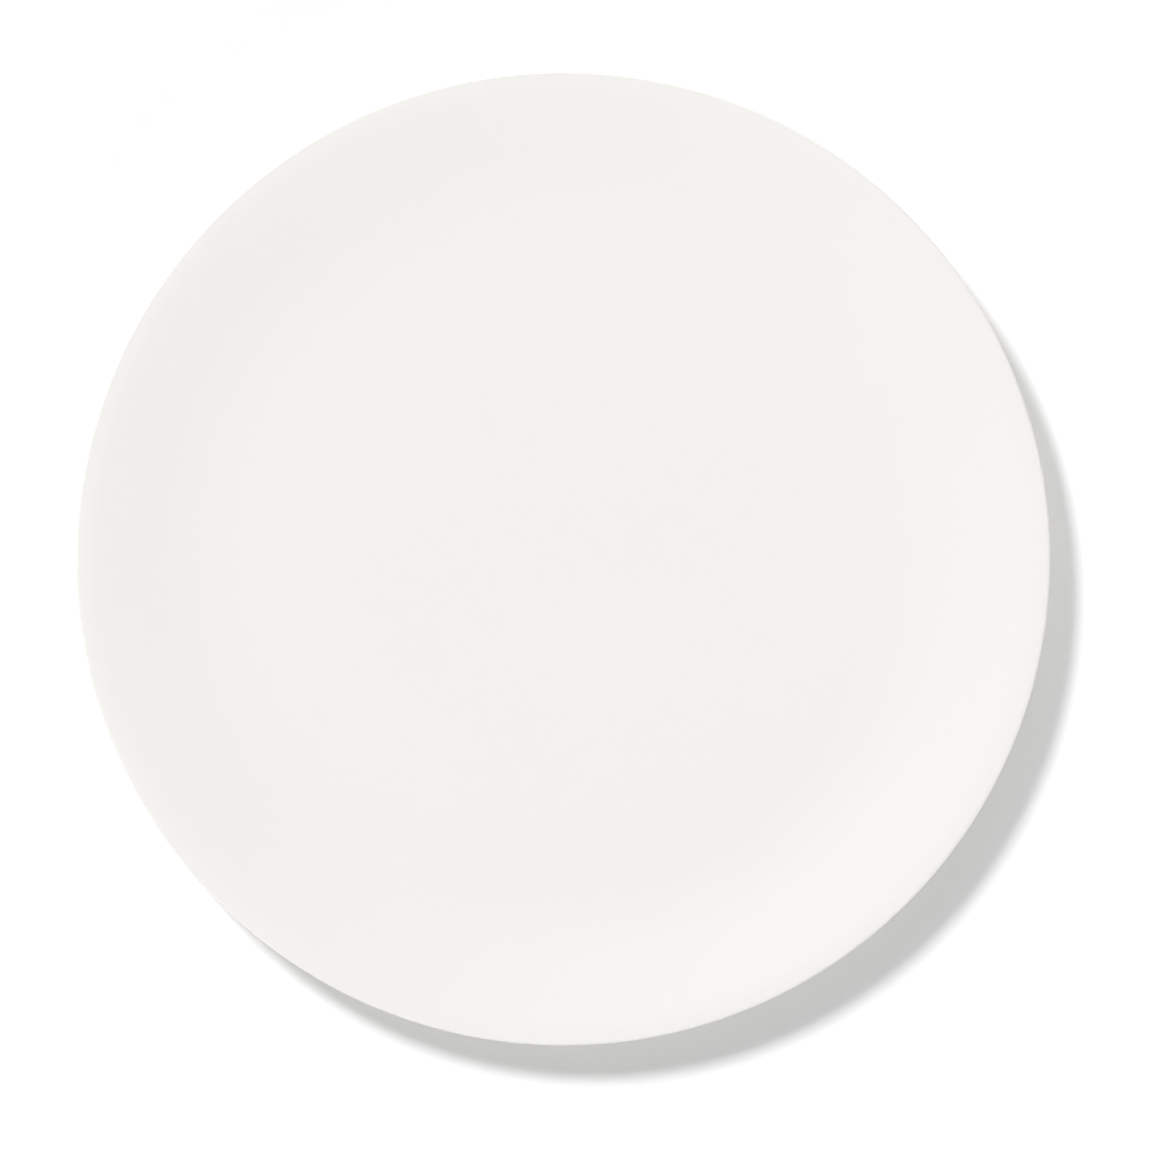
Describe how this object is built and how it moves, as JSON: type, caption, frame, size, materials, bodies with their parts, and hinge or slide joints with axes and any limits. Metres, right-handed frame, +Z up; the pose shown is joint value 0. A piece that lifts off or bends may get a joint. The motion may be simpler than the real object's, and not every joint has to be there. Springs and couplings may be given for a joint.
{
  "type": "dinner plate",
  "caption": "Round rimless coupe dinner plate in glazed white bone china, with a shallow flat well, a raised soft edge and a bare foot ring.",
  "frame": {"origin": "on the table under the centre of the plate", "axes": "+Z up along the plate's axis, out of the well; X and Y in the table's plane, all directions alike"},
  "size_m": [0.28, 0.28, 0.016],
  "materials": {
    "biscuit": "matte",
    "main_glaze": "gloss",
    "recess_glaze": "gloss"
  },
  "bodies": {
    "root": {"china_body": "biscuit", "main_glaze": "main_glaze", "recess_glaze": "recess_glaze"}
  },
  "joints": []
}
